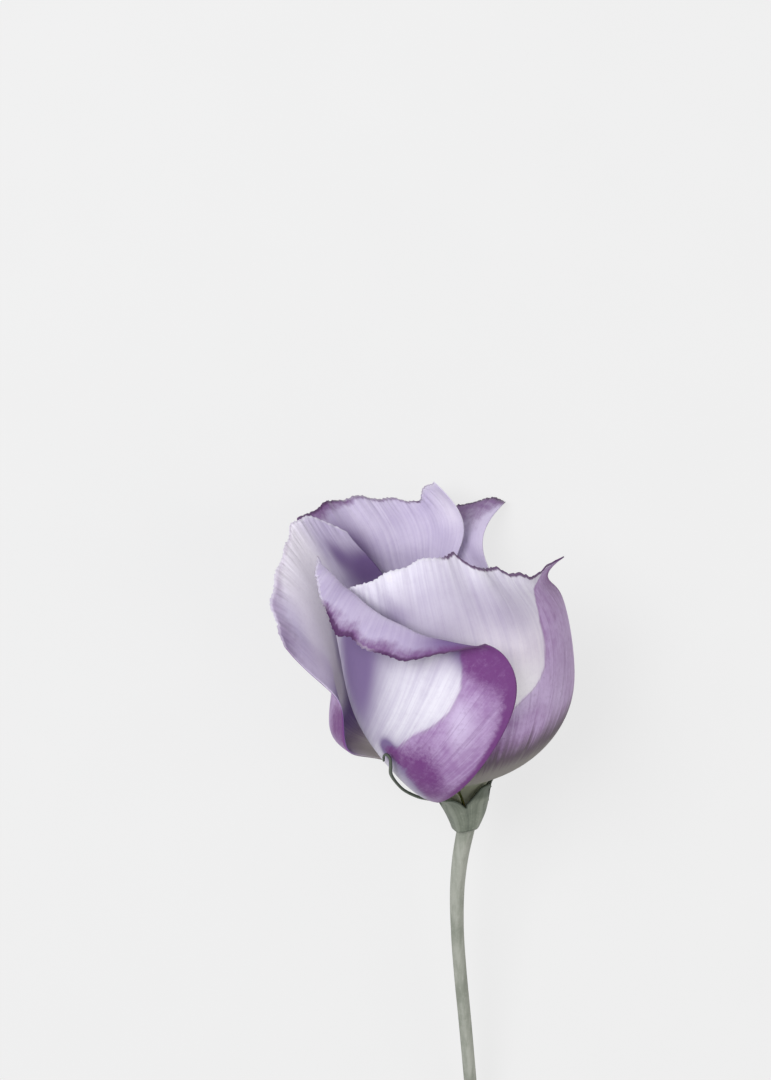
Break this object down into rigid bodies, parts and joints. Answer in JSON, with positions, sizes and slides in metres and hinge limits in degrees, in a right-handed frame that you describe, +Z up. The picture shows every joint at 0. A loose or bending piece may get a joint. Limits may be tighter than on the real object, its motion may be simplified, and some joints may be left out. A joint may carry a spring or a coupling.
{
  "type": "lisianthus flower",
  "caption": "Cut lisianthus flower lying on a surface: half-open twisted bloom with ruffled two-tone petals, a green calyx with needle sepals, and a bare stem.",
  "frame": {"origin": "on the surface, under the middle of the whole flower's bounding box", "axes": "+Z up from the surface, +Y from the cut end of the stem towards the bloom, +X to the right seen from above"},
  "size_m": [0.0662, 0.1722, 0.0641],
  "materials": {
    "petal": "soft satin petal skin, pale lilac with purple flanks and edges",
    "calyx": "waxy grey-green leaf skin",
    "stem": "waxy grey-green stalk",
    "pistil": "moist yellow-green",
    "stamens": "dry pollen yellow on pale filaments"
  },
  "bodies": {
    "root": {"petal_front_left": "petal", "petal_front_right": "petal", "petal_right": "petal", "petal_back": "petal", "petal_left": "petal", "calyx": "calyx", "stem": "stem", "pistil": "pistil", "stamens": "stamens"}
  },
  "joints": []
}
